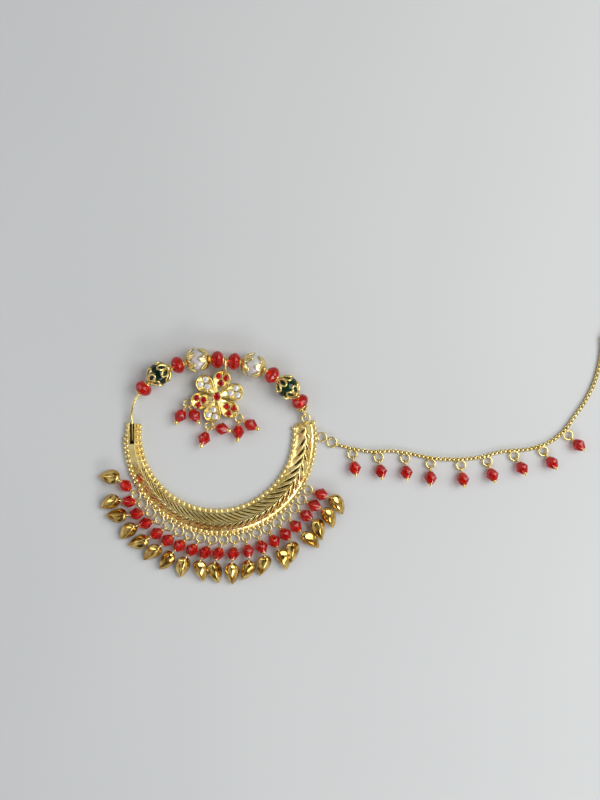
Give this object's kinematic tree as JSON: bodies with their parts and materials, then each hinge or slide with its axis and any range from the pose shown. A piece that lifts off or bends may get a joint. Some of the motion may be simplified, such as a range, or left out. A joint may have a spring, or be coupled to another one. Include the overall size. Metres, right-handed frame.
{
  "type": "nath nose ring",
  "caption": "Hinged hoop nose ring with a cast crescent, strung crystals and pearls, a jewelled flower, a fringe of crystal and leaf drops, and a fine chain with a hook for the hair.",
  "frame": {"origin": "middle of the crescent's flat back at the lowest point of the ring", "axes": "+Z out of the flat back towards the front, +Y towards the beaded hoop, +X towards the hair chain"},
  "size_m": [0.1628, 0.087, 0.0079],
  "materials": {
    "gold": "polished gold plate",
    "red_crystal": "cut and polished",
    "dark_glass": "polished, in open gold caps",
    "pearl": "pearly, in petalled gold caps"
  },
  "bodies": {
    "crescent": {"crescent": "gold", "fringe_bead_1": "red_crystal", "fringe_bead_2": "red_crystal", "fringe_bead_3": "red_crystal", "fringe_bead_4": "red_crystal", "fringe_bead_5": "red_crystal", "fringe_bead_6": "red_crystal", "fringe_bead_7": "red_crystal", "fringe_bead_8": "red_crystal", "fringe_bead_9": "red_crystal", "fringe_bead_10": "red_crystal", "fringe_bead_11": "red_crystal", "fringe_bead_12": "red_crystal", "fringe_bead_13": "red_crystal", "fringe_bead_14": "red_crystal", "fringe_bead_15": "red_crystal", "fringe_bead_16": "red_crystal", "fringe_bead_17": "red_crystal", "fringe_bead_18": "red_crystal", "fringe_bead_19": "red_crystal", "leaf_1": "gold", "leaf_2": "gold", "leaf_3": "gold", "leaf_4": "gold", "leaf_5": "gold", "leaf_6": "gold", "leaf_7": "gold", "leaf_8": "gold", "leaf_9": "gold", "leaf_10": "gold", "leaf_11": "gold", "leaf_12": "gold", "leaf_13": "gold", "leaf_14": "gold", "leaf_15": "gold", "leaf_16": "gold", "leaf_17": "gold", "leaf_18": "gold", "leaf_19": "gold", "link_ring": "gold", "drop_chain": "gold", "hair_hook": "gold"},
    "hoop": {"hoop_wire": "gold", "red_bead_1": "red_crystal", "green_bead_1": "dark_glass", "red_bead_2": "red_crystal", "pearl_bead_1": "pearl", "red_bead_3": "red_crystal", "red_bead_4": "red_crystal", "pearl_bead_2": "pearl", "red_bead_5": "red_crystal", "green_bead_2": "dark_glass", "red_bead_6": "red_crystal", "flower_pendant": "gold", "flower_drop_1": "red_crystal", "flower_drop_2": "red_crystal", "flower_drop_3": "red_crystal", "flower_drop_4": "red_crystal", "flower_drop_5": "red_crystal", "flower_drop_6": "red_crystal"}
  },
  "joints": [
    {"name": "hoop_hinge", "type": "hinge", "parent": "crescent", "child": "hoop", "pos_m": [0.02659, 0.03232, 0.0016], "axis": [0, 0, 1], "range_deg": [-60, 0]}
  ]
}
